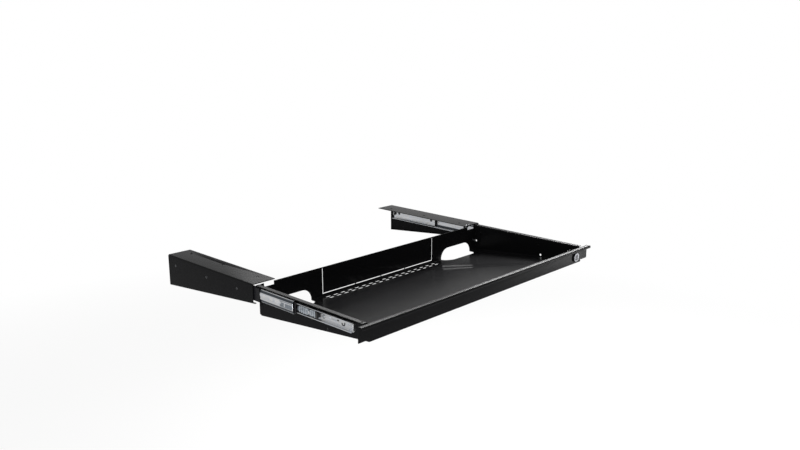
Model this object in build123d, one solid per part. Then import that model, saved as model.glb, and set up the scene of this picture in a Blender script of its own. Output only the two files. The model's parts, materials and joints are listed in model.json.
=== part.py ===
from build123d import *
import os

os.makedirs("parts", exist_ok=True)

# Laptop drawer that hangs under a desk top, shown pulled out.
# X runs along the desk's front edge, Y towards the back of the desk, Z up.
# The origin is the centre of the desk screws, on the face that meets the desk.
# All sizes are in millimetres. Pieces of the right-hand side are made first,
# and the left-hand ones are their mirror images.

# How far the drawer comes out, and its clearances
drawer_travel = 276.0
rim_gap = 0.8
rail_gap = 0.6
front_gap = 3.0

# Brackets
bracket_sheet = 1.5
bracket_length = 280.0
bracket_front_height = 36.2
desk_flange = 50.0
return_lip = 4.0
lip_toe = 3.0
desk_hole = 5.0
desk_hole_inset = 34.2
desk_hole_spacing = 220.0

# Tray
tray_sheet = 1.2
tray_width = 612.0
tray_depth = 277.7
front_height = 32.1
back_height = 59.4
side_overhang = 2.8
bend_radius = 1.2
flange_width = 9.0
flange_setback = 4.7
flange_hole = 4.0
flange_hole_inset = 6.3
front_width = 658.0
ear_height = 27.5
ear_notch = 3.0
lip_reach = 9.6
lip_height = 6.0
lip_return = 2.5
lip_corner = 1.5
guide_tab_width = 11.3
guide_tab_height = 1.0
guide_tab_offset = 27.0

# Cut-outs of the tray
cable_hole_width = 100.0
cable_hole_offset = 234.0
left_cable_hole_offset = 239.5
cable_hole_height = 25.0
cable_hole_depth = 24.5
cable_hole_radius = 22.0
vent_count = 17
vent_pitch = 18.85
vent_length = 12.8
vent_width = 5.6
vent_offset = 3.7
vent_row_gap = 10.0
vent_inset = 8.0
panel_width = 313.0
panel_offset = 4.2
panel_foot = 7.0
slit_width = 1.7
bridge_width = 2.4
bridge_pitch = 71.0
side_bridge = 2.5
pass_notch_width = 22.0
pass_notch_depth = 6.8
wall_hole = 4.5
wall_hole_drop = 36.3
wall_hole_setback = 98.0
wall_hole_inset = 2.8
corner_tab = 12.0
corner_rivet_inset = 9.5
corner_rivet_drop = 34.0

# Slide: heights and distances out from the tray wall
slide_depth = 12.7
rail_length = 245.0
rail_setback = 29.3
outer_height = 28.0
outer_sheet = 1.2
outer_lip_start = 4.2
outer_race = 0.95
middle_sheet = 1.0
middle_length = 232.0
middle_lag = 6.5
middle_face = 10.2
middle_step = 2.2
middle_web_height = 11.4
middle_lip_start = 3.0
inner_race = 2.2
inner_sheet = 1.2
inner_depth = 6.4
inner_tab_chamfer = 2.0
inner_top_chamfer = 1.5
inner_bottom_chamfer = 5.0
cage_sheet = 0.6
cage_gap = 0.35
outer_cage_length = 90.0
outer_cage_nose = 46.0
inner_cage_length = 92.0
inner_cage_nose = 10.0
outer_ball = 1.6
inner_ball = 2.5
outer_ball_place = 6.0
inner_ball_place = 4.0
ball_count = 6
ball_pitch = 14.5
ball_gap = 0.07
cage_hole_gap = 0.12

# Parts on the slides
rail_rivet_places = (75.0, 151.0, 231.0)
bracket_rivet_places = (22.0, 120.0, 228.0)
rivet_shank = 4.0
rivet_head = 7.0
rivet_head_height = 1.6
rivet_tail = 5.6
rivet_tail_height = 0.9
buffer_height = 10.0
buffer_gap = 0.7
slot_length = 20.0
slot_width = 2.4
slot_place = 49.0
slot_rise = 2.2
hook_place = 28.0
hook_radius = 3.2
hook_width = 1.5
lever_length = 47.0
lever_front = 91.0
lever_height = 12.0
lever_sheet = 1.6
lever_stand_off = 1.9
lever_tab_length = 5.0
lever_tab_height = 10.5
lever_pin = 3.0
lever_pin_place = 108.0
lever_pin_head = 5.0
lever_pin_gap = 0.08
catch_place = 4.0
catch_length = 19.5
catch_height = 8.4
catch_bar = 3.0
catch_arm = 17.0
catch_gap = 0.15
catch_recess = 0.45
catch_stand = 0.65

# Lock
lock_offset = 286.0
lock_drop = 18.2
lock_face = 20.0
lock_proud = 3.4
lock_body = 14.0
lock_body_length = 15.0
lock_plug_diameter = 11.0
lock_plug_proud = 0.4
lock_plug_gap = 0.08
keyhole_length = 8.0
keyhole_width = 2.6
keyhole_depth = 6.0
washer_diameter = 19.0
washer_sheet = 0.6
nut_width = 17.6
nut_height = 4.0
nut_gap = 0.06
cam_width = 12.0
cam_reach = 17.0
cam_sheet = 2.0
cam_gap = 0.3
cam_screw_head = 8.0
cam_screw_head_height = 2.2
cam_screw_shank = 4.0
strike_sheet = 2.0
strike_width = 18.0
strike_drop = 6.8
strike_gap = 0.4
strike_rivet = 3.2
strike_rivet_head = 5.4
strike_rivet_head_height = 1.0
strike_rivet_spacing = 10.0

# Places that follow from the sizes above
wall_x = tray_width / 2
panel_inside = wall_x + slide_depth
panel_outside = panel_inside + bracket_sheet
rim_z = -bracket_sheet - rim_gap
bracket_front = -bracket_length / 2
bracket_back = bracket_length / 2
tray_front = bracket_front - front_gap - tray_sheet - drawer_travel
tray_back = tray_front + tray_depth
tray_slope = (back_height - front_height) / tray_depth
slide_z = rim_z - tray_sheet - rail_gap - outer_height / 2
middle_height = outer_height - 2 * (outer_sheet + outer_race)
inner_height = middle_height - 2 * (middle_sheet + inner_race)
inner_front = tray_front + rail_setback
outer_front = inner_front + drawer_travel
middle_front = outer_front + middle_lag - drawer_travel / 2
hole_x = panel_outside - desk_hole_inset
buffer_length = rail_length - outer_sheet - middle_lag - middle_length - buffer_gap
lock_z = rim_z - lock_drop


def block(x, y, z):
    """Box between two limits on each axis."""
    size = [high - low for low, high in (x, y, z)]
    middle = [(high + low) / 2 for low, high in (x, y, z)]
    return Pos(*middle) * Box(*size)


def rod(radius, start, end):
    """Cylinder from one point to another along an axis."""
    start, end = Vector(*start), Vector(*end)
    base = Plane(origin=start, z_dir=end - start)
    return extrude(base * Circle(radius), amount=(end - start).length)


def bent_sheet(points, radius, thickness, side):
    """Section of sheet that lies on one side of a bent line."""
    path = FilletPolyline(*points, radius=radius)
    return make_face(offset(path, thickness, side=side).edges())


def side_on(section, x_from, x_to):
    """Section drawn in Y and Z, run along X."""
    return extrude(Plane.YZ.offset(x_from) * section, amount=x_to - x_from)


def front_on(section, y_from, y_to):
    """Section drawn in X and Z, run along Y."""
    return extrude(Plane.XZ.offset(-y_to) * section, amount=y_to - y_from)


def both_sides(piece):
    """The piece and its mirror image on the left."""
    return piece + mirror(piece, about=Plane.YZ)


def slide_section(points, radius, thickness, side):
    """Bent section of a slide, drawn out from the tray wall about the slide's middle."""
    placed = [(wall_x + out, slide_z + up) for out, up in points]
    return bent_sheet(placed, radius, thickness, side)


# Tray

def floor_z(y):
    """Underside of the tray's floor."""
    return rim_z - front_height - tray_slope * (y - tray_front)


def tray_shell():
    """Sloping floor with the lower part of its four walls, rounded at the bends."""
    bend_outside = bend_radius + tray_sheet
    wall_top = rim_z - bend_outside
    half = tray_width / 2
    floor_thickness = tray_sheet * (1 + tray_slope ** 2) ** 0.5
    front_in, back_in = tray_front + tray_sheet, tray_back - tray_sheet
    outer = Polyline((tray_front, wall_top), (tray_front, floor_z(tray_front)),
                     (tray_back, floor_z(tray_back)), (tray_back, wall_top), close=True)
    inner = Polyline((front_in, rim_z), (front_in, floor_z(front_in) + floor_thickness),
                     (back_in, floor_z(back_in) + floor_thickness), (back_in, rim_z), close=True)
    body = side_on(make_face(outer), -half, half)
    hollow = side_on(make_face(inner), tray_sheet - half, half - tray_sheet)
    body = fillet(body.faces().sort_by(Axis.Z)[0].edges(), bend_outside)
    hollow = fillet(hollow.faces().sort_by(Axis.Z)[0].edges(), bend_radius)
    return body - hollow


def lip_corners():
    """Cutter that rounds the two front corners of the rolled lip."""
    x, y = front_width / 2 - lip_corner, tray_front - lip_reach + lip_corner
    corner = Pos(x + lip_corner, y - lip_corner) * Rectangle(2 * lip_corner, 2 * lip_corner)
    corner -= Pos(x, y) * Circle(lip_corner)
    low = rim_z - lip_height - 1
    return both_sides(extrude(Plane.XY.offset(low) * corner, amount=lip_height + 2))


def tray_front_sheet():
    """Front with its ears, bent forwards and rolled under at the top."""
    inside = rim_z - tray_sheet
    nose = tray_front - lip_reach + tray_sheet
    curl = (lip_height - 2 * tray_sheet) / 2 - 0.01
    points = [(tray_front, rim_z - ear_height), (tray_front, inside), (nose, inside),
              (nose, inside - 2 * curl - 0.02), (nose + lip_return, inside - 2 * curl - 0.02)]
    section = bent_sheet(points, (bend_radius, curl, curl), tray_sheet, Side.RIGHT)
    sheet = side_on(section, -front_width / 2, front_width / 2) - lip_corners()
    tab_x = lock_offset - guide_tab_offset
    tab = block((tab_x - guide_tab_width / 2, tab_x + guide_tab_width / 2),
                (tray_front, tray_front + tray_sheet),
                (rim_z - lip_height, rim_z + guide_tab_height))
    return sheet + fillet(tab.edges().filter_by(Axis.Y).sort_by(Axis.Z)[-2:], guide_tab_height / 2)


def tray_flanges():
    """Top edges of the side walls, bent outwards over the slides."""
    start = tray_front + flange_setback
    top = rim_z - tray_sheet
    points = [(wall_x, rim_z - lip_height), (wall_x, top), (wall_x + flange_width, top)]
    flange = front_on(bent_sheet(points, bend_radius, tray_sheet, Side.LEFT), start, tray_back)
    corners = flange.edges().filter_by(Axis.Z).sort_by(Axis.X)[-2:]
    flange = fillet(corners, flange_width / 4)
    hole_y = start + flange_hole_inset
    flange -= rod(flange_hole / 2, (wall_x + flange_width / 2, hole_y, top - 1),
                  (wall_x + flange_width / 2, hole_y, rim_z + 1))
    stub = block((wall_x - tray_sheet, wall_x), (tray_front + tray_sheet / 2, start + 1),
                 (rim_z - lip_height, rim_z - tray_sheet))
    return both_sides(flange + stub)


def tray_back_top():
    """Upper part of the back wall, the tabs in the back corners and the side walls' overhang."""
    bend_outside = bend_radius + tray_sheet
    top = block((tray_sheet - wall_x, wall_x - tray_sheet), (tray_back - tray_sheet, tray_back),
                (rim_z - bend_outside - 1, rim_z))
    tab_bottom = floor_z(tray_back) + 2 * bend_outside
    tab = block((wall_x - 2 * tray_sheet, wall_x - tray_sheet),
                (tray_back - tray_sheet - corner_tab, tray_back - tray_sheet),
                (tab_bottom, rim_z - bend_outside))
    overhang = Polyline((tray_back - 1, rim_z - bend_outside),
                        (tray_back + side_overhang, rim_z - bend_outside),
                        (tray_back + side_overhang, floor_z(tray_back) + bend_outside),
                        (tray_back - 1, floor_z(tray_back) + bend_outside + 1), close=True)
    side = side_on(make_face(overhang), wall_x - tray_sheet, wall_x)
    return top + both_sides(tab + side)


def cable_hole(x):
    """Cutter for a cable opening, punched across the back bend."""
    up = floor_z(tray_back) + cable_hole_height
    reach = 2 * cable_hole_radius
    wall_cut = Pos(x, up - reach) * RectangleRounded(
        cable_hole_width, 2 * reach, cable_hole_radius)
    floor_cut = Pos(x, tray_back - cable_hole_depth + reach) * RectangleRounded(
        cable_hole_width, 2 * reach, cable_hole_radius)
    inside = tray_back - 2 * tray_sheet
    cut = front_on(wall_cut, inside, tray_back + tray_sheet)
    low = floor_z(tray_back) - tray_sheet
    return cut + extrude(Plane.XY.offset(low) * floor_cut,
                         amount=cable_hole_depth / 4 + 2 * tray_sheet)


def vents():
    """Cutters for the two rows of slots along the back of the floor."""
    row = tray_back - tray_sheet - vent_inset
    slot = SlotOverall(vent_length, vent_width)
    cut = Sketch()
    for column in range(vent_count):
        x = (column - (vent_count - 1) / 2) * vent_pitch - vent_offset
        cut += Pos(x, row) * slot
        cut += Pos(x, row - vent_row_gap) * slot
    low = floor_z(tray_back) - tray_sheet
    rise = tray_slope * (vent_inset + vent_row_gap + vent_width)
    return extrude(Plane.XY.offset(low) * cut, amount=4 * tray_sheet + rise)


def knock_out_slits():
    """Cutters for the slits round the panel that breaks out of the back wall."""
    foot = floor_z(tray_back) + panel_foot
    half = panel_width / 2
    cut = Sketch()
    edges = [-half] + [place * bridge_pitch for place in (-1, 0, 1)] + [half]
    for number, (left, right) in enumerate(zip(edges, edges[1:])):
        left += bridge_width / 2 if number else -slit_width / 2
        right += slit_width / 2 if right == half else -bridge_width / 2
        cut += Pos((left + right) / 2, foot) * Rectangle(right - left, slit_width)
    height = rim_z - side_bridge - foot
    for x in (-half, half):
        cut += Pos(x, foot + height / 2) * Rectangle(slit_width, height)
    return front_on(Pos(-panel_offset, 0) * cut, tray_back - 2 * tray_sheet, tray_back + tray_sheet)


def small_tray_holes():
    """Cutters for the lock, the rivets, the wall holes and the notches of the back wall."""
    beyond = 2 * tray_sheet
    cut = rod(lock_body / 2, (lock_offset, tray_front - beyond, lock_z),
              (lock_offset, tray_front + beyond, lock_z))
    side = block((hole_x - pass_notch_width / 2, hole_x + pass_notch_width / 2),
                 (tray_back - beyond, tray_back + beyond),
                 (rim_z - pass_notch_depth, rim_z + beyond))
    for y in (tray_front + wall_hole_setback, tray_back - tray_sheet - wall_hole_inset):
        side += rod(wall_hole / 2, (wall_x - 2 * beyond, y, rim_z - wall_hole_drop),
                    (wall_x + beyond, y, rim_z - wall_hole_drop))
    for place in rail_rivet_places:
        side += rod(rivet_shank / 2, (wall_x - beyond, inner_front + place, slide_z),
                    (wall_x + beyond, inner_front + place, slide_z))
    rivet_x, rivet_z = wall_x - corner_rivet_inset, rim_z - corner_rivet_drop
    side += rod(rivet_shank / 2, (rivet_x, tray_back - beyond, rivet_z),
                (rivet_x, tray_back + beyond, rivet_z))
    side += rod(ear_notch / 2, (wall_x + ear_notch / 2, tray_front - beyond, rim_z - ear_height),
                (wall_x + ear_notch / 2, tray_front + beyond, rim_z - ear_height))
    return cut + both_sides(side)


def tray():
    sheet = tray_shell() + tray_front_sheet() + tray_flanges() + tray_back_top()
    sheet -= cable_hole(cable_hole_offset) + cable_hole(-left_cable_hole_offset)
    sheet -= vents()
    sheet -= knock_out_slits()
    return sheet - small_tray_holes()


# Brackets

def bracket():
    """Side panel with a flange for the desk screws and a lip along its sloping bottom."""
    toe = bracket_front - lip_toe
    bottom_front = -bracket_front_height + tray_slope * lip_toe
    bottom_back = -bracket_front_height - tray_slope * bracket_length
    lip_thickness = bracket_sheet * (1 + tray_slope ** 2) ** 0.5
    outer = Polyline((toe, 0), (toe, bottom_front), (bracket_back, bottom_back),
                     (bracket_back, 0), close=True)
    inner = Polyline((toe - 1, -bracket_sheet), (toe - 1, bottom_front + lip_thickness + tray_slope),
                     (bracket_back - bracket_sheet,
                      bottom_back + lip_thickness + tray_slope * bracket_sheet),
                     (bracket_back - bracket_sheet, -bracket_sheet), close=True)
    bend_outside = bend_radius + bracket_sheet
    inside_x = panel_outside - return_lip - bracket_sheet
    body = side_on(make_face(outer), inside_x, panel_outside)
    bends = body.edges().filter_by(lambda edge: edge.length > bracket_length
                                   and edge.center().X > panel_outside - 0.1)
    body = fillet(bends, bend_outside)
    hollow = side_on(make_face(inner), inside_x - 1, panel_inside)
    bends = hollow.edges().filter_by(lambda edge: edge.length > bracket_length
                                     and edge.center().X > panel_inside - 0.1)
    body -= fillet(bends, bend_radius)
    lip_top = -bracket_front_height + lip_thickness
    body -= block((inside_x - 1, panel_outside + 1), (toe - 1, bracket_front), (lip_top, 1))
    body += block((panel_outside - desk_flange, panel_outside - bend_outside),
                  (bracket_front, bracket_back), (-bracket_sheet, 0))
    for y in (-desk_hole_spacing / 2, 0, desk_hole_spacing / 2):
        body -= rod(desk_hole / 2, (hole_x, y, -bracket_sheet - 1), (hole_x, y, 1))
    for place in bracket_rivet_places:
        y = outer_front + place
        body -= rod(rivet_shank / 2, (panel_inside - 1, y, slide_z), (panel_outside + 1, y, slide_z))
    return body


def right_bracket():
    """The right-hand bracket also has the holes of the strike's rivets."""
    piece = bracket()
    for x, y in strike_rivet_places():
        piece -= rod(strike_rivet / 2, (x, y, -bracket_sheet - 1), (x, y, 1))
    return piece


def rivet(y, head_x, wall_face_x, tail_x, head_radius, head_height):
    """Rivet along X, with its head towards the bracket's or channel's inside."""
    outwards = 1 if tail_x > head_x else -1
    head = rod(head_radius, (head_x - outwards * head_height, y, slide_z), (head_x, y, slide_z))
    shank = rod(rivet_shank / 2, (head_x - outwards * head_height / 2, y, slide_z),
                (wall_face_x, y, slide_z))
    tail = rod(rivet_tail / 2, (wall_face_x, y, slide_z), (tail_x, y, slide_z))
    return head + shank + tail


def bracket_rivets():
    """Flush-headed rivets of the outer rails, with their tails outside the brackets."""
    group = Part()
    web = panel_inside - outer_sheet
    for place in bracket_rivet_places:
        y = outer_front + place
        head = Plane(origin=(web, y, slide_z), z_dir=(1, 0, 0)) * Circle(rivet_head / 2)
        foot = Plane(origin=(panel_inside, y, slide_z), z_dir=(1, 0, 0)) * Circle(rivet_shank / 2)
        piece = loft([head.faces()[0], foot.faces()[0]])
        piece += rod(rivet_shank / 2, (panel_inside - 0.1, y, slide_z), (panel_outside, y, slide_z))
        piece += rod(rivet_tail / 2, (panel_outside, y, slide_z),
                     (panel_outside + rivet_tail_height, y, slide_z))
        group += piece
    return both_sides(group)


# Slides

def outer_rail():
    """Outer member: a channel that opens towards the tray, with a stop tab at its back."""
    half = outer_height / 2
    points = [(outer_lip_start, -half), (slide_depth, -half), (slide_depth, half),
              (outer_lip_start, half)]
    section = slide_section(points, 2 * outer_sheet, outer_sheet, Side.LEFT)
    rail = front_on(section, outer_front, outer_front + rail_length)
    for up in (-1, 1):
        rail -= ball_groove(outer_ball, outer_ball_place, up * outer_ball_height(),
                            outer_front, rail_length)
    rail += block((wall_x + inner_depth + 1, panel_inside - outer_sheet / 2),
                  (outer_front + rail_length - outer_sheet, outer_front + rail_length),
                  (slide_z - buffer_height / 2 - 1, slide_z + buffer_height / 2 + 1))
    web = panel_inside - outer_sheet
    for place in bracket_rivet_places:
        y = outer_front + place
        head = Plane(origin=(web, y, slide_z), z_dir=(1, 0, 0)) * Circle(rivet_head / 2)
        foot = Plane(origin=(panel_inside, y, slide_z), z_dir=(1, 0, 0)) * Circle(rivet_shank / 2)
        rail -= loft([head.faces()[0], foot.faces()[0]])
    return rail


def outer_ball_height():
    """Height of the outer balls: midway between the outer and middle members' lips."""
    return (outer_height / 2 - outer_sheet + middle_height / 2) / 2


def inner_ball_height():
    """Height of the inner balls: midway between the middle and inner members' lips."""
    return (middle_height / 2 - middle_sheet + inner_height / 2) / 2


def ball_groove(ball, place, up, start, length):
    """Cutter for the groove that a row of balls runs in."""
    x, z = wall_x + place, slide_z + up
    return rod(ball / 2 + ball_gap, (x, start - 1, z), (x, start + length + 1, z))


def middle_rail():
    """Middle member: a channel whose sides slope up to the web on its outside."""
    half = middle_height / 2
    web = middle_web_height / 2
    shoulder = middle_face - middle_step
    points = [(middle_lip_start, -half), (shoulder, -half), (middle_face, -web),
              (middle_face, web), (shoulder, half), (middle_lip_start, half)]
    section = slide_section(points, (1.4, 1.0, 1.0, 1.4), middle_sheet, Side.LEFT)
    rail = front_on(section, middle_front, middle_front + middle_length)
    for up in (-1, 1):
        rail -= ball_groove(outer_ball, outer_ball_place, up * outer_ball_height(),
                            middle_front, middle_length)
        rail -= ball_groove(inner_ball, inner_ball_place, up * inner_ball_height(),
                            middle_front, middle_length)
    start = middle_front + catch_place
    pocket = block((wall_x + middle_face - catch_recess, wall_x + middle_face + 1),
                   (start, start + catch_length),
                   (slide_z - catch_height / 2, slide_z + catch_height / 2))
    return rail - fillet(pocket.edges().filter_by(Axis.X), catch_bar / 2)


def rail_catch():
    """Flat catch in the middle member's pocket: a foot with a thin arm along the top."""
    floor = wall_x + middle_face - catch_recess
    back = middle_front + catch_place + catch_length - catch_gap
    top = slide_z + catch_height / 2 - catch_gap
    reach = (floor, floor + catch_stand)
    foot = block(reach, (back - catch_bar, back), (top + 2 * catch_gap - catch_height, top))
    foot = fillet(foot.edges().filter_by(Axis.X), catch_bar / 2 - 0.01)
    arm = block(reach, (back - catch_arm, back - catch_bar / 2), (top - catch_bar / 2, top))
    return foot + arm


def inner_rail():
    """Inner member: a channel that opens outwards, closed by a chamfered tab in front."""
    half = inner_height / 2
    points = [(inner_depth, -half), (0, -half), (0, half), (inner_depth, half)]
    section = slide_section(points, 2.0, inner_sheet, Side.RIGHT)
    rail = front_on(section, inner_front, inner_front + rail_length)
    for up in (-1, 1):
        rail -= ball_groove(inner_ball, inner_ball_place, up * inner_ball_height(),
                            inner_front, rail_length)
    tab = block((wall_x + inner_sheet / 2, wall_x + inner_depth),
                (inner_front, inner_front + inner_sheet),
                (slide_z - half + 1, slide_z + half - 1))
    rail += chamfer(tab.edges().filter_by(Axis.Y).sort_by(Axis.X)[-2:], inner_tab_chamfer)
    for corner, size in ((-half, inner_bottom_chamfer), (half, inner_top_chamfer)):
        wedge = Box(inner_depth + 2, 2 ** 0.5 * size, 2 ** 0.5 * size)
        rail -= Pos(wall_x + inner_depth / 2, inner_front, slide_z + corner) * Rot(45, 0, 0) * wedge
    beyond = (wall_x - 1, wall_x + inner_depth + 1)
    slot = Pos(inner_front + slot_place, slide_z + slot_rise) * SlotOverall(slot_length, slot_width)
    bow = CenterArc((inner_front + hook_place, slide_z), hook_radius, 150, 210)
    hook = SlotArc(bow, hook_width)
    rail -= side_on(slot, *beyond)
    rail -= side_on(hook, *beyond)
    for place in rail_rivet_places:
        rail -= rod(rivet_shank / 2, (beyond[0], inner_front + place, slide_z),
                    (beyond[1] - inner_depth + 1, inner_front + place, slide_z))
    pin_y = inner_front + lever_pin_place
    return rail - rod(lever_pin / 2, (beyond[0] + 1, pin_y, slide_z),
                      (wall_x + inner_sheet + 1, pin_y, slide_z))


def ball_places(centre):
    """Places along Y of one row of balls."""
    return [centre + (number - (ball_count - 1) / 2) * ball_pitch for number in range(ball_count)]


def cage(lip_start, web_out, height, centre, length, nose, place, ball):
    """Retainer between two members: a thin channel with a hole for each ball and a long nose."""
    half = height + cage_sheet / 2
    points = [(lip_start, -half), (web_out, -half), (web_out, half), (lip_start, half)]
    strip = front_on(slide_section(points, 1.0, cage_sheet, Side.LEFT),
                     centre - length / 2 - nose, centre + length / 2)
    for y in ball_places(centre):
        for up in (-height, height):
            strip -= rod(ball / 2 + cage_hole_gap, (wall_x + place, y, slide_z + up - 1),
                         (wall_x + place, y, slide_z + up + 1))
    return strip


def ball_rows(place, height, centre, ball):
    """The balls of one stage, on both sides of the drawer."""
    group = []
    for side in (-1, 1):
        for y in ball_places(centre):
            for up in (-height, height):
                group.append(Pos(side * (wall_x + place), y, slide_z + up) * Sphere(ball / 2))
    return Compound(children=group)


outer_cage_centre = (outer_front + middle_front + middle_length) / 2
inner_cage_centre = (middle_front + inner_front + rail_length) / 2


def outer_cage():
    return cage(outer_ball_place - outer_ball / 2 - 0.4, middle_face + cage_gap + cage_sheet,
                outer_ball_height(), outer_cage_centre, outer_cage_length, outer_cage_nose,
                outer_ball_place, outer_ball)


def inner_cage():
    return cage(inner_ball_place - inner_ball / 2 - 0.3, inner_depth + cage_gap + cage_sheet,
                inner_ball_height(), inner_cage_centre, inner_cage_length, inner_cage_nose,
                inner_ball_place, inner_ball)


def rail_rivets():
    """Rivets of the inner rails: heads in the channel, clinched inside the tray."""
    group = Part()
    head_x = wall_x + inner_sheet
    inside = wall_x - tray_sheet
    for place in rail_rivet_places:
        group += rivet(inner_front + place, head_x, inside, inside - rivet_tail_height,
                       rivet_head / 2, rivet_head_height)
    return both_sides(group)


def corner_rivets():
    """Rivets through the folded back corners of the tray."""
    x, z = wall_x - corner_rivet_inset, rim_z - corner_rivet_drop
    inside = tray_back - tray_sheet
    piece = rod(rivet_tail / 2, (x, inside - rivet_tail_height, z), (x, inside, z))
    piece += rod(rivet_shank / 2, (x, inside, z), (x, tray_back, z))
    piece += rod(rivet_tail / 2, (x, tray_back, z), (x, tray_back + rivet_tail_height, z))
    return both_sides(piece)


def closing_buffers():
    """Rubber stops that the middle members close against."""
    back = outer_front + rail_length - outer_sheet
    piece = block((wall_x + inner_depth + 1.2, panel_inside - outer_sheet),
                  (back - buffer_length, back),
                  (slide_z - buffer_height / 2, slide_z + buffer_height / 2))
    return both_sides(fillet(piece.edges().filter_by(Axis.X).sort_by(Axis.Y)[:2], 1.5))


def release_lever():
    """Lever in the inner rail's channel: a waisted plate with a finger tab at its front."""
    front = inner_front + lever_front
    low = wall_x + inner_sheet + lever_stand_off
    plate = Polyline((front, -lever_height / 2), (front, lever_height / 2),
                     (front + lever_length * 0.35, lever_height * 0.38),
                     (front + lever_length * 0.45, lever_height / 2),
                     (front + lever_length * 0.65, lever_height / 2),
                     (front + lever_length, lever_height * 0.3),
                     (front + lever_length, -lever_height * 0.3),
                     (front + lever_length * 0.65, -lever_height / 2),
                     (front + lever_length * 0.45, -lever_height / 2),
                     (front + lever_length * 0.35, -lever_height * 0.38), close=True)
    body = side_on(Pos(0, slide_z) * make_face(plate), low, low + lever_sheet)
    tab = block((low - 0.6, wall_x + inner_depth - 0.4), (front - lever_tab_length, front + 0.6),
                (slide_z - lever_tab_height / 2, slide_z + lever_tab_height / 2))
    body += fillet(tab.edges().filter_by(Axis.X), 1.0)
    pin_y = inner_front + lever_pin_place
    return body - rod(lever_pin / 2 + lever_pin_gap, (low - 1, pin_y, slide_z),
                      (low + lever_sheet + 1, pin_y, slide_z))


def lever_pins():
    """Headed pins that the levers turn on, riveted into the inner rails' webs."""
    y = inner_front + lever_pin_place
    low = wall_x + inner_sheet + lever_stand_off
    top = low + lever_sheet + 0.15
    piece = rod(lever_pin / 2, (wall_x, y, slide_z), (top, y, slide_z))
    piece += rod(lever_pin_head / 2, (wall_x + inner_sheet, y, slide_z), (low - 0.15, y, slide_z))
    piece += rod(lever_pin_head / 2, (top, y, slide_z), (top + 0.8, y, slide_z))
    return both_sides(piece)


# Lock

body_back = tray_front + tray_sheet + lock_body_length
cam_front = body_back + cam_gap
cam_back = cam_front + cam_sheet


def on_lock_axis(radius, y_from, y_to):
    return rod(radius, (lock_offset, y_from, lock_z), (lock_offset, y_to, lock_z))


def lock_barrel():
    """Round face on a body that passes through the front."""
    face = on_lock_axis(lock_face / 2, tray_front - lock_proud, tray_front)
    rims = face.edges().filter_by(GeomType.CIRCLE).sort_by(Axis.Y)
    piece = fillet(rims[0], 1.2) + on_lock_axis(lock_body / 2, tray_front, body_back)
    bore = lock_plug_diameter / 2 + lock_plug_gap
    return piece - on_lock_axis(bore, tray_front - lock_proud - 1, body_back + 1)


def lock_plug():
    """Core that the key turns, with its keyhole."""
    start = tray_front - lock_proud - lock_plug_proud
    piece = on_lock_axis(lock_plug_diameter / 2, start, cam_front)
    rims = piece.edges().filter_by(GeomType.CIRCLE).sort_by(Axis.Y)
    piece = chamfer(rims[0], 0.3)
    keyhole = Pos(lock_offset, lock_z) * SlotOverall(keyhole_length, keyhole_width, rotation=90)
    piece -= front_on(keyhole, start - 1, start + keyhole_depth)
    return piece - on_lock_axis(cam_screw_shank / 2, cam_front - 6, cam_front + 1)


def lock_cam():
    """Cam that points inwards when open and up behind the strike when locked."""
    half = cam_width / 2
    hub = Pos(lock_offset, lock_z) * Circle(half)
    arm = Pos(lock_offset - cam_reach / 2, lock_z) * Rectangle(cam_reach, cam_width)
    tip = [vertex for vertex in arm.vertices() if vertex.X < lock_offset - 1]
    arm = fillet(tip, 2.0)
    return front_on(hub + arm, cam_front, cam_back) - on_lock_axis(
        cam_screw_shank / 2, cam_front - 1, cam_back + 1)


def cam_screw():
    """Pan-head screw that holds the cam on the plug."""
    head = on_lock_axis(cam_screw_head / 2, cam_back, cam_back + cam_screw_head_height)
    rims = head.edges().filter_by(GeomType.CIRCLE).sort_by(Axis.Y)
    head = fillet(rims[-1], 0.8)
    return head + on_lock_axis(cam_screw_shank / 2, cam_front - 5, cam_back)


def lock_washer():
    start = tray_front + tray_sheet
    return on_lock_axis(washer_diameter / 2, start, start + washer_sheet) - on_lock_axis(
        lock_body / 2 + nut_gap, start - 1, start + washer_sheet + 1)


def lock_nut():
    start = tray_front + tray_sheet + washer_sheet
    outline = Pos(lock_offset, lock_z) * RegularPolygon(nut_width / 2, 6, major_radius=False)
    return front_on(outline, start, start + nut_height) - on_lock_axis(
        lock_body / 2 + nut_gap, start - 1, start + nut_height + 1)


strike_back = cam_front + drawer_travel - strike_gap
strike_front = strike_back - 4.5 * strike_sheet


def strike_rivet_places():
    """Places of the strike's two rivets on the bracket's flange."""
    y = strike_front + 1.5 * strike_sheet
    return [(lock_offset + side * strike_rivet_spacing / 2, y) for side in (-1, 1)]


def lock_strike():
    """Angle under the bracket's flange: the cam turns up behind its hanging leg."""
    top = -bracket_sheet
    width = (lock_offset - strike_width / 2, lock_offset + strike_width / 2)
    section = bent_sheet([(strike_front, top), (strike_back, top), (strike_back, top - strike_drop)],
                         strike_sheet + 0.5, strike_sheet, Side.RIGHT)
    piece = side_on(section, *width)
    for x, y in strike_rivet_places():
        piece -= rod(strike_rivet / 2, (x, y, top - strike_sheet - 1), (x, y, top + 1))
    return piece


def strike_rivets():
    group = Part()
    low = -bracket_sheet - strike_sheet
    for x, y in strike_rivet_places():
        group += rod(strike_rivet / 2, (x, y, low), (x, y, 0))
        group += rod(strike_rivet_head / 2, (x, y, low - strike_rivet_head_height), (x, y, low))
    return group


# Pieces that have a mirror image on the left
paired = {
    "outer_rail": outer_rail(),
    "middle_rail": middle_rail(),
    "rail_catch": rail_catch(),
    "inner_rail": inner_rail(),
    "outer_cage": outer_cage(),
    "inner_cage": inner_cage(),
    "release_lever": release_lever(),
}

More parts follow.
